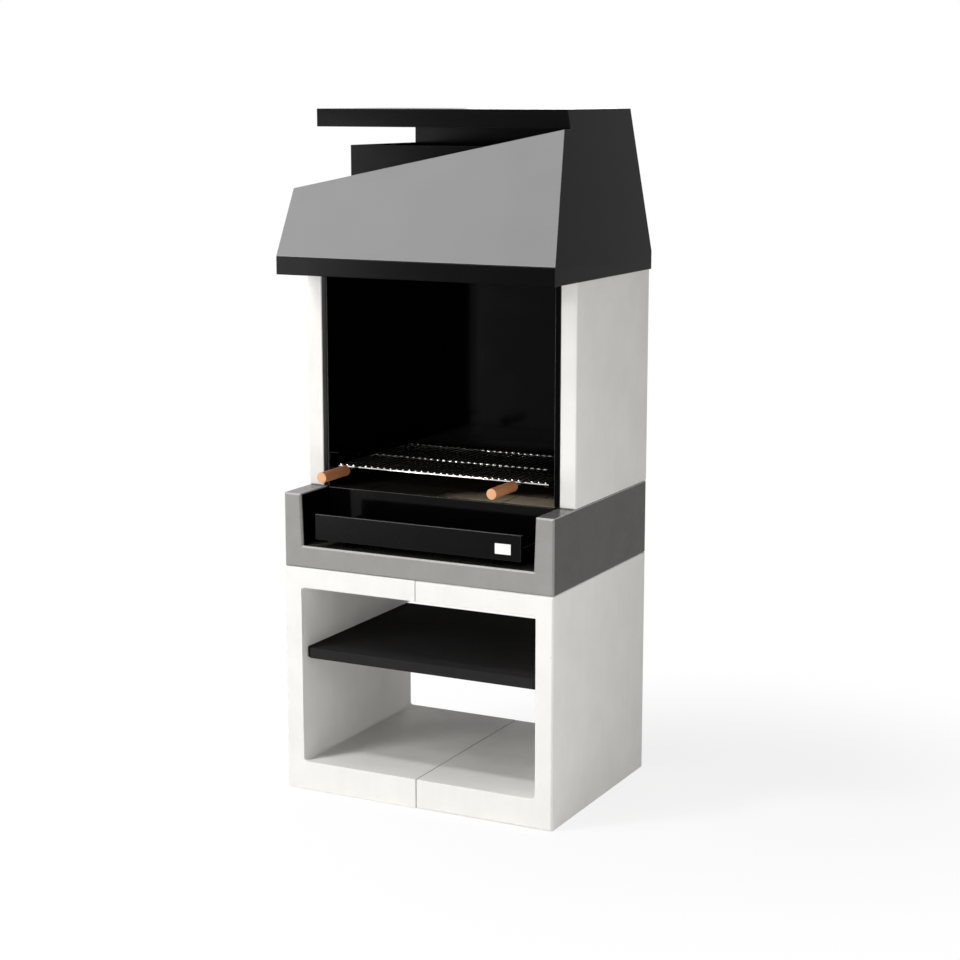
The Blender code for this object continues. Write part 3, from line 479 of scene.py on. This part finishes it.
# Where the painted shadow on the bricks starts, and how fast it deepens.
LIT_FROM = Vector((0.17, -0.06))
SHADOW_AFTER = Vector((0.26, 0.06))
DEEPEST_SHADOW = 1.3
bricks = sorted(name for name in solids if name.startswith("fire_brick"))
for number, brick in enumerate(bricks):
    piece = rounded(brick, "fired", BRICK_ARRIS, [fire_brick])
    mesh = piece.data
    shade = mesh.attributes.new("kiln_shade", "FLOAT", "POINT")
    tone = TONE_SPREAD * noise.cell(Vector((number * 1.37, 4.1, 0.6)))
    shade.data.foreach_set("value", [tone] * len(mesh.vertices))
    painted_shadow = mesh.attributes.new("painted_shadow", "FLOAT", "POINT")
    for vert, value in zip(mesh.vertices, painted_shadow.data):
        left = (LIT_FROM.x - vert.co.x) / SHADOW_AFTER.x
        behind = (vert.co.y - LIT_FROM.y) / SHADOW_AFTER.y
        value.value = min(DEEPEST_SHADOW, max(left, 0.0) + max(behind, 0.0))

# Grate: chromed wire, rods welded on three cross bars, each weld a small bead, the cut
# ends eased. Two rods run on forward as the tangs of the grips. A thin film of fat dulls
# the chrome, so that the rods are dim lines between the bright bars.
low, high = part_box("grate")
ROD_RADIUS = 0.0025
BAR_RADIUS = 0.00275
WELD_SINK = 0.0005
PITCH = 0.0216
RODS = 33
BARS = 3
BAR_REACH = 0.4435
ROD_PAST_BAR = 0.004
TANG_FROM_END = 3
WELD_RADIUS = 0.0029
WELD_SWELL = (0.85, 1.12)
WELD_FLATNESS = 0.7
ROD_END_ARRIS = 0.0006

chrome, tree, shader = surface("bright_chrome", Base_Color=linear(0xE6E5E0), Metallic=0.975)
place = add(tree, "ShaderNodeTexCoord").outputs["Object"]
wiped = add(
    tree, "ShaderNodeTexNoise", {"Vector": place, "Scale": per_mm(18), "Detail": 4.0}
).outputs["Fac"]
smooth = add(
    tree, "ShaderNodeMapRange",
    {"Value": wiped, "From Min": 0.35, "From Max": 0.7, "To Min": 0.05, "To Max": 0.14},
).outputs["Result"]
tree.links.new(smooth, shader.inputs["Roughness"])

last_bar = high.y - ROD_PAST_BAR
first_bar = last_bar - BAR_REACH
rod_height = high.z - ROD_RADIUS
weave = bpy.data.node_groups.new("welded_wire_grate", "GeometryNodeTree")
GRATE_SIZES = {
    "Rods": RODS,
    "First Rod": -PITCH * (RODS - 1) / 2,
    "Pitch": PITCH,
    "Rod Radius": ROD_RADIUS,
    "Rod Height": rod_height,
    "Rod Front": first_bar - ROD_PAST_BAR,
    "Rod Back": high.y,
    "Left Tang": TANG_FROM_END,
    "Right Tang": RODS - 1 - TANG_FROM_END,
    "Tang Front": low.y,
    "Bars": BARS,
    "First Bar": first_bar,
    "Bar Spacing": BAR_REACH / (BARS - 1),
    "Bar Radius": BAR_RADIUS,
    "Bar Height": rod_height - ROD_RADIUS - BAR_RADIUS + WELD_SINK,
    "Bar Left End": low.x,
    "Bar Right End": high.x,
    "Weld Radius": WELD_RADIUS,
    "Weld Height": rod_height - ROD_RADIUS,
    "Weld Seed": 5,
}
for name, size in GRATE_SIZES.items():
    kind = "NodeSocketInt" if isinstance(size, int) else "NodeSocketFloat"
    weave.interface.new_socket(name, in_out="INPUT", socket_type=kind)
weave.interface.new_socket("Finish", in_out="INPUT", socket_type="NodeSocketMaterial")
weave.interface.new_socket("Grate", in_out="OUTPUT", socket_type="NodeSocketGeometry")
size = add(weave, "NodeGroupInput").outputs


def straight_wire(along, start, end, radius):
    """A round wire with closed ends, between two places on one axis."""
    ends = [
        add(weave, "ShaderNodeCombineXYZ", {along: place}).outputs[0] for place in (start, end)
    ]
    line = add(weave, "GeometryNodeCurvePrimitiveLine", {"Start": ends[0], "End": ends[1]})
    ring = add(weave, "GeometryNodeCurvePrimitiveCircle", {"Resolution": 14, "Radius": radius})
    return add(
        weave, "GeometryNodeCurveToMesh",
        {"Curve": line.outputs[0], "Profile Curve": ring.outputs[0], "Fill Caps": True},
    ).outputs[0]


first = add(
    weave, "ShaderNodeCombineXYZ", {"X": size["First Rod"], "Z": size["Rod Height"]}
).outputs[0]
step = add(weave, "ShaderNodeCombineXYZ", {"X": size["Pitch"]}).outputs[0]
places = add(
    weave, "GeometryNodeMeshLine", {"Count": size["Rods"], "Start Location": first, "Offset": step}
).outputs[0]
number = add(weave, "GeometryNodeInputIndex").outputs[0]
tangs = [
    add(
        weave, "FunctionNodeCompare", {2: number, 3: size[tang]},
        data_type="INT", operation="EQUAL",
    ).outputs[0]
    for tang in ("Left Tang", "Right Tang")
]
tang = add(weave, "FunctionNodeBooleanMath", {0: tangs[0], 1: tangs[1]}, operation="OR").outputs[0]
plain = add(weave, "FunctionNodeBooleanMath", {0: tang}, operation="NOT").outputs[0]
wires = []
for chosen, front in ((plain, "Rod Front"), (tang, "Tang Front")):
    rod = straight_wire("Y", size[front], size["Rod Back"], size["Rod Radius"])
    wires.append(
        add(
            weave, "GeometryNodeInstanceOnPoints",
            {"Points": places, "Selection": chosen, "Instance": rod},
        ).outputs[0]
    )

across = add(
    weave, "ShaderNodeCombineXYZ", {"Y": size["First Bar"], "Z": size["Bar Height"]}
).outputs[0]
step = add(weave, "ShaderNodeCombineXYZ", {"Y": size["Bar Spacing"]}).outputs[0]
bar_places = add(
    weave, "GeometryNodeMeshLine",
    {"Count": size["Bars"], "Start Location": across, "Offset": step},
).outputs[0]
bar = straight_wire("X", size["Bar Left End"], size["Bar Right End"], size["Bar Radius"])
wires.append(
    add(weave, "GeometryNodeInstanceOnPoints", {"Points": bar_places, "Instance": bar}).outputs[0]
)

swell = add(
    weave, "FunctionNodeRandomValue",
    {2: WELD_SWELL[0], 3: WELD_SWELL[1], "Seed": size["Weld Seed"]},
).outputs[1]
squashed = add(
    weave, "ShaderNodeCombineXYZ", {"X": swell, "Y": swell, "Z": WELD_FLATNESS}
).outputs[0]
bead = add(
    weave, "GeometryNodeMeshIcoSphere", {"Radius": size["Weld Radius"], "Subdivisions": 2}
).outputs[0]
first = add(
    weave, "ShaderNodeCombineXYZ", {"X": size["First Rod"], "Z": size["Weld Height"]}
).outputs[0]
step = add(weave, "ShaderNodeCombineXYZ", {"X": size["Pitch"]}).outputs[0]
row = add(
    weave, "GeometryNodeMeshLine", {"Count": size["Rods"], "Start Location": first, "Offset": step}
).outputs[0]
beads = add(
    weave, "GeometryNodeInstanceOnPoints", {"Points": row, "Instance": bead, "Scale": squashed}
).outputs[0]
across = add(weave, "ShaderNodeCombineXYZ", {"Y": size["First Bar"]}).outputs[0]
step = add(weave, "ShaderNodeCombineXYZ", {"Y": size["Bar Spacing"]}).outputs[0]
rows = add(
    weave, "GeometryNodeMeshLine",
    {"Count": size["Bars"], "Start Location": across, "Offset": step},
).outputs[0]
wires.append(
    add(weave, "GeometryNodeInstanceOnPoints", {"Points": rows, "Instance": beads}).outputs[0]
)
joined = add(weave, "GeometryNodeJoinGeometry")
for wire in wires:
    weave.links.new(wire, joined.inputs[0])
real = add(weave, "GeometryNodeRealizeInstances", {0: joined.outputs[0]}).outputs[0]
dressed = add(
    weave, "GeometryNodeSetMaterial", {"Geometry": real, "Material": size["Finish"]}
).outputs[0]
add(weave, "NodeGroupOutput", {"Grate": dressed})

grate = bpy.data.objects.new("grate_welded", bpy.data.meshes.new("grate_welded"))
bpy.context.scene.collection.objects.link(grate)
weaving = grate.modifiers.new("weaving", "NODES")
weaving.node_group = weave
for item in weave.interface.items_tree:
    if item.in_out == "INPUT":
        weaving[item.identifier] = chrome if item.name == "Finish" else GRATE_SIZES[item.name]
easing = grate.modifiers.new("easing", "BEVEL")
easing.width = ROD_END_ARRIS
easing.segments = 2
easing.limit_method = "ANGLE"
easing.angle_limit = math.radians(60)
settle(grate)
grate.data.shade_smooth()
grate.data.set_sharp_from_angle(angle=math.radians(50))
show(grate, "grate")

# Grips: turned and oiled beech, bored from behind and driven on the tangs, with the
# lathe's rounded arrises. The grain runs along them; the end faces are painted paler as a
# highlight and show the rings, whose pith lay outside the blank.
beech, tree, shader = surface("oiled_beech", IOR=1.5, Specular_IOR_Level=0.4, Roughness=0.45)
grain_place = add(tree, "ShaderNodeAttribute", attribute_name="grain_place").outputs["Vector"]
along = add(
    tree, "ShaderNodeMapping", {"Vector": grain_place, "Scale": (1.0, 0.06, 1.0)}
).outputs["Vector"]
wander = add(
    tree, "ShaderNodeTexNoise", {"Vector": along, "Scale": per_mm(14), "Detail": 2.0}
).outputs["Color"]
RING_WANDER = 0.004
bent = add(
    tree, "ShaderNodeVectorMath", {0: wander, 1: (RING_WANDER,) * 3, 2: along},
    operation="MULTIPLY_ADD",
).outputs[0]
rings = add(
    tree, "ShaderNodeTexWave",
    {"Vector": bent, "Scale": per_mm(9), "Distortion": 1.2, "Detail": 2.0},
    wave_type="RINGS", rings_direction="Y",
).outputs["Fac"]
pores = add(
    tree, "ShaderNodeTexNoise",
    {"Vector": along, "Scale": per_mm(1.6), "Detail": 3.0, "Roughness": 0.7},
).outputs["Fac"]
figure = add(
    tree, "ShaderNodeMath", {0: rings, 1: 0.5, 2: pores}, operation="MULTIPLY_ADD"
).outputs[0]
figure = add(
    tree, "ShaderNodeMapRange", {"Value": figure, "From Min": 0.35, "From Max": 1.0}
).outputs["Result"]
side = add(
    tree, "ShaderNodeMix", {0: figure, 6: linear(0xC2875A), 7: linear(0x84502F)}, data_type="RGBA"
).outputs[2]
# The end faces get paler colours: a painted highlight.
end = add(
    tree, "ShaderNodeMix", {0: figure, 6: linear(0xE6B386), 7: linear(0xC88F62)}, data_type="RGBA"
).outputs[2]
facing = add(tree, "ShaderNodeTexCoord").outputs["Normal"]
facing = add(tree, "ShaderNodeVectorMath", {0: facing}, operation="ABSOLUTE").outputs[0]
facing = add(tree, "ShaderNodeSeparateXYZ", {"Vector": facing}).outputs["Y"]
end_highlight_share = add(
    tree, "ShaderNodeMapRange", {"Value": facing, "From Min": 0.5, "From Max": 0.95}
).outputs["Result"]
colour = add(tree, "ShaderNodeMix", {0: end_highlight_share, 6: side, 7: end}, data_type="RGBA").outputs[2]
tree.links.new(colour, shader.inputs["Base Color"])
bump = add(
    tree, "ShaderNodeBump", {"Height": pores, "Strength": 0.25, "Distance": 0.0003}
).outputs["Normal"]
tree.links.new(bump, shader.inputs["Normal"])

GRIP_ARRIS = 0.002
BORE_RADIUS = 0.0028
BORE_DEPTH = 0.112
PITH_ASIDE = 0.013
FACETS = 56
for source, pith_height in (("grate_handle_left", -0.021), ("grate_handle_right", 0.024)):
    low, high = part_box(source)
    centre = Vector(((low.x + high.x) / 2, 0, (low.z + high.z) / 2))
    waist = (high.z - low.z) / 2 - GRIP_ARRIS
    turns = [math.radians(15 * step) for step in range(7)]
    profile = [(0.0, low.y)]
    profile += [
        (waist + GRIP_ARRIS * math.sin(turn), low.y + GRIP_ARRIS * (1 - math.cos(turn)))
        for turn in turns
    ]
    profile += [
        (waist + GRIP_ARRIS * math.cos(turn), high.y - GRIP_ARRIS * (1 - math.sin(turn)))
        for turn in turns
    ]
    bottom = high.y - BORE_DEPTH
    profile += [(BORE_RADIUS, high.y), (BORE_RADIUS, bottom), (0.0, bottom)]
    # A ring on the axis is one point, and the facets that end there have three corners.
    bm = bmesh.new()
    rings = []
    for out, y in profile:
        angles = [math.tau * step / FACETS for step in range(FACETS if out else 1)]
        rings.append([
            bm.verts.new((centre.x + out * math.cos(angle), y, centre.z - out * math.sin(angle)))
            for angle in angles
        ])
    for ring, behind in zip(rings, rings[1:]):
        for step in range(FACETS):
            corners = [
                ring[step % len(ring)], ring[(step + 1) % len(ring)],
                behind[(step + 1) % len(behind)], behind[step % len(behind)],
            ]
            bm.faces.new(list(dict.fromkeys(corners)))
    mesh = bpy.data.meshes.new(f"{source}_turned")
    bm.to_mesh(mesh)
    bm.free()
    mesh.materials.append(beech)
    mesh.shade_smooth()
    mesh.set_sharp_from_angle(angle=math.radians(40))
    spot = mesh.attributes.new("grain_place", "FLOAT_VECTOR", "POINT")
    pith = centre + Vector((PITH_ASIDE, 0.0, pith_height))
    for vert, value in zip(mesh.vertices, spot.data):
        value.vector = vert.co - pith
    grip = bpy.data.objects.new(mesh.name, mesh)
    bpy.context.scene.collection.objects.link(grip)
    show(grip, source)

# Ash drawer: front and tray folded from steel sheet and enamelled satin black, a shade
# softer than the firebox. The front carries a small white enamel plate, left bare, whose
# glaze is a little uneven.
drawer_enamel = fired_enamel("satin_black_enamel", 0x070707, (0.26, 0.3), 0.06, 3)
rounded("ash_drawer_front", "enamelled", FOLD, [drawer_enamel, edge_highlight_enamel])
rounded("ash_drawer_tray", "enamelled", CUT_EDGE, [drawer_enamel, edge_highlight_enamel])

white_plate, tree, shader = surface("white_enamel_plate", IOR=1.5)
place = add(tree, "ShaderNodeTexCoord").outputs["Object"]
fired = add(
    tree, "ShaderNodeTexNoise", {"Vector": place, "Scale": per_mm(9), "Detail": 4.0}
).outputs["Fac"]
colour = add(
    tree, "ShaderNodeMix", {0: fired, 6: linear(0xF2F2F0), 7: linear(0xE9E9E6)}, data_type="RGBA"
).outputs[2]
tree.links.new(colour, shader.inputs["Base Color"])
smooth = add(
    tree, "ShaderNodeMapRange", {"Value": fired, "To Min": 0.2, "To Max": 0.36}
).outputs["Result"]
tree.links.new(smooth, shader.inputs["Roughness"])
GLAZED_ARRIS = 0.0003
rounded("badge_plate", "bare", GLAZED_ARRIS, [white_plate])

# Hood: folded from 2 mm steel sheet, welded at the mitred edges and sprayed, and set on
# two ledges of galvanised steel, whose zinc shows as flat grey flakes.
galvanised, tree, shader = surface("galvanised_steel", Metallic=1.0)
place = add(tree, "ShaderNodeTexCoord").outputs["Object"]
flakes = add(tree, "ShaderNodeTexVoronoi", {"Vector": place, "Scale": per_mm(9)}).outputs["Color"]
tone = add(tree, "ShaderNodeSeparateColor", {"Color": flakes}).outputs["Red"]
colour = add(
    tree, "ShaderNodeMix", {0: tone, 6: linear(0xB4B7B9), 7: linear(0x8D9194)}, data_type="RGBA"
).outputs[2]
tree.links.new(colour, shader.inputs["Base Color"])
smooth = add(
    tree, "ShaderNodeMapRange", {"Value": tone, "To Min": 0.32, "To Max": 0.5}
).outputs["Result"]
tree.links.new(smooth, shader.inputs["Roughness"])
for ledge in ("hood_ledge_left", "hood_ledge_right"):
    rounded(ledge, "galvanised", CUT_EDGE, [galvanised])


def sprayed_paint(name, thick, thin, roughness, gloss, highlight_colour=None):
    """Heat-proof spray paint, a little thicker where the passes of the gun overlap. Its
    0.5 mm spray texture is drawn at 3 mm, or it would not show. An edge that looks up
    may be painted another colour, as a highlight."""
    unevenness = 0.03
    material, tree, shader = surface(name, IOR=1.5, Specular_IOR_Level=gloss)
    place = add(tree, "ShaderNodeTexCoord").outputs["Object"]
    passes = add(
        tree, "ShaderNodeTexNoise", {"Vector": place, "Scale": per_mm(140), "Detail": 3.0}
    ).outputs["Fac"]
    fine = add(
        tree, "ShaderNodeTexNoise", {"Vector": place, "Scale": per_mm(3), "Detail": 2.0}
    ).outputs["Fac"]
    colour = add(
        tree, "ShaderNodeMix", {0: passes, 6: linear(thick), 7: linear(thin)}, data_type="RGBA"
    ).outputs[2]
    # An edge that looks up gets a lighter colour: a painted highlight.
    if highlight_colour:
        colour = add(
            tree, "ShaderNodeMix",
            {0: looking_up(tree, 0.1, 0.5), 6: colour, 7: linear(highlight_colour)}, data_type="RGBA",
        ).outputs[2]
    tree.links.new(colour, shader.inputs["Base Color"])
    smooth = add(
        tree, "ShaderNodeMapRange",
        {"Value": passes, "From Min": 0.3, "From Max": 0.7,
         "To Min": roughness - unevenness, "To Max": roughness + unevenness},
    ).outputs["Result"]
    tree.links.new(smooth, shader.inputs["Roughness"])
    bump = add(
        tree, "ShaderNodeBump", {"Height": fine, "Strength": 0.1, "Distance": 0.0002}
    ).outputs["Normal"]
    tree.links.new(bump, shader.inputs["Normal"])
    return material


# The grey is matt and gives an even tone, the black a faint soft sheen. At the edges the
# grey is painted paler, and the black where the edge looks up, as a highlight.
grey_paint = sprayed_paint("grey_heatproof_paint", 0x878787, 0x848484, 0.55, 0.2)
# The edge finishes are painted lighter than the faces: painted highlights.
grey_edge_highlight = sprayed_paint("grey_paint_painted_highlight", 0xA6A6A6, 0x9C9C9C, 0.5, 0.3)
black_paint = sprayed_paint("black_heatproof_paint", 0x0A0A0A, 0x080808, 0.2, 0.03)
black_edge_highlight = sprayed_paint(
    "black_paint_painted_highlight", 0x141414, 0x101010, 0.3, 0.05, highlight_colour=0x585858
)
FRONT_PLATE_EDGE = 0.0008
SHEET_EDGE = 0.001
rounded("hood_front_plate", "painted", FRONT_PLATE_EDGE, [grey_paint, grey_edge_highlight])
for sheet in ("hood_front_band", "hood_left_panel", "hood_right_panel", "hood_back_panel",
              "hood_shoulder_plate", "flue_box", "hood_cap"):
    rounded(sheet, "painted", SHEET_EDGE, [black_paint, black_edge_highlight])

# Studio: a pale floor that runs out to white round the grill's soft shadow, soft lamps of
# which the strongest stand at the front left, and a camera where the photograph was
# taken from.
scene = bpy.context.scene


def seen_directly(tree):
    """1 for rays that show the background: straight, mirrored or through glass."""
    path = add(tree, "ShaderNodeLightPath").outputs
    shown = path["Is Camera Ray"]
    for kind in ("Is Glossy Ray", "Is Transmission Ray"):
        shown = add(
            tree, "ShaderNodeMath", {0: shown, 1: path[kind]}, operation="MAXIMUM"
        ).outputs[0]
    return shown


SHADOW_MIDDLE = (0.75, 0.25, 0.0)
FLOOR_REACH = 30
FLOOR_DROP = 0.0004
pale_floor, tree, shader = surface("pale_studio_floor", Roughness=0.9, Specular_IOR_Level=0.0)
shader.inputs["Base Color"].default_value = linear(0xEEEEEE)
white = add(tree, "ShaderNodeEmission", {"Color": (1.0, 1.0, 1.0, 1.0), "Strength": 1.0})
place = add(tree, "ShaderNodeTexCoord").outputs["Object"]
away = add(
    tree, "ShaderNodeVectorMath", {0: place, 1: SHADOW_MIDDLE}, operation="DISTANCE"
).outputs["Value"]
faded = add(
    tree, "ShaderNodeMapRange",
    {"Value": away, "From Min": 0.3, "From Max": 1.5, "To Min": 0.8, "To Max": 1.0},
    interpolation_type="SMOOTHSTEP",
).outputs["Result"]
share = add(
    tree, "ShaderNodeMath", {0: seen_directly(tree), 1: faded}, operation="MULTIPLY"
).outputs[0]
blend = add(
    tree, "ShaderNodeMixShader", {0: share, 1: shader.outputs[0], 2: white.outputs[0]}
)
tree.links.new(blend.outputs[0], tree.nodes["Material Output"].inputs["Surface"])
bm = bmesh.new()
bmesh.ops.create_grid(bm, x_segments=1, y_segments=1, size=FLOOR_REACH)
bmesh.ops.translate(bm, verts=bm.verts, vec=(0, 0, -FLOOR_DROP))
mesh = bpy.data.meshes.new("studio_floor")
bm.to_mesh(mesh)
bm.free()
mesh.materials.append(pale_floor)
floor = bpy.data.objects.new("studio_floor", mesh)
scene.collection.objects.link(floor)

world = bpy.data.worlds.new("studio")
scene.world = world
world.use_nodes = True
tree = world.node_tree
dim = tree.nodes["Background"]
dim.inputs["Color"].default_value = (1.0, 1.0, 1.0, 1.0)
dim.inputs["Strength"].default_value = 0.15
bright = add(tree, "ShaderNodeBackground", {"Color": (1.0, 1.0, 1.0, 1.0), "Strength": 1.0})
blend = add(
    tree, "ShaderNodeMixShader", {0: seen_directly(tree), 1: dim.outputs[0], 2: bright.outputs[0]}
)
tree.links.new(blend.outputs[0], tree.nodes["World Output"].inputs["Surface"])


def soft_light(name, place, aim, wide, tall, power):
    """A lamp with an even face, turned towards a point and out of the camera's sight.
    The face is in metres, the power in watts."""
    lamp = bpy.data.lights.new(name, "AREA")
    lamp.shape = "RECTANGLE"
    lamp.size = wide
    lamp.size_y = tall
    lamp.energy = power
    holder = bpy.data.objects.new(name, lamp)
    holder.location = place
    holder.rotation_euler = (Vector(aim) - Vector(place)).to_track_quat("-Z", "Y").to_euler()
    holder.visible_camera = False
    scene.collection.objects.link(holder)


# Three lamps from above set the level. The grate's bars mirror the bars light, and the
# black fronts mirror the strip, which makes them fade from left to right. The weak ones
# fill the sides, the bench's right end, the back and the inside of the base.
soft_light("key_light", (-2.2, -2.65, 6.6), (0, 0, 1.0), 0.8, 0.8, 138)
soft_light("upper_light", (-2.4, -3.6, 4.6), (0, 0, 1.0), 1.2, 1.2, 39)
soft_light("top_light", (0.2, -0.6, 7.0), (0, 0, 1.0), 1.6, 1.6, 60)
soft_light("bars_light", (-2.7, -4.6, 3.2), (0, 0, 1.0), 1.8, 0.8, 60)
soft_light("strip_light", (-3.2, -4.35, 1.05), (0, 0, 1.0), 0.85, 1.9, 80)
soft_light("left_light", (-4.3, -2.9, 1.6), (0, 0, 1.0), 2.0, 2.0, 15)
soft_light("right_light", (4.4, 0.9, 3.0), (0, 0, 0.9), 2.4, 2.4, 22)
soft_light("near_light", (1.6, -1.1, 1.1), (0.45, 0, 0.85), 0.6, 0.6, 4)
soft_light("back_light", (-1.6, 4.8, 2.8), (0, 0, 1.0), 1.6, 1.6, 30)
soft_light("low_light", (2.6, -2.4, 0.42), (-0.2, 0, 0.4), 1.2, 0.8, 20)

# The camera's place, turn and lens were solved from edges of the grill in the photograph.
camera = bpy.data.cameras.new("photograph")
camera.lens = 77.65
camera.sensor_width = 36
camera.clip_end = 100
holder = bpy.data.objects.new("photograph", camera)
holder.location = (2.8733, -5.5124, 2.1058)
holder.rotation_euler = (math.radians(90 - 10.512), 0, math.radians(27.074))
scene.collection.objects.link(holder)
scene.camera = holder
scene.view_settings.view_transform = "Standard"
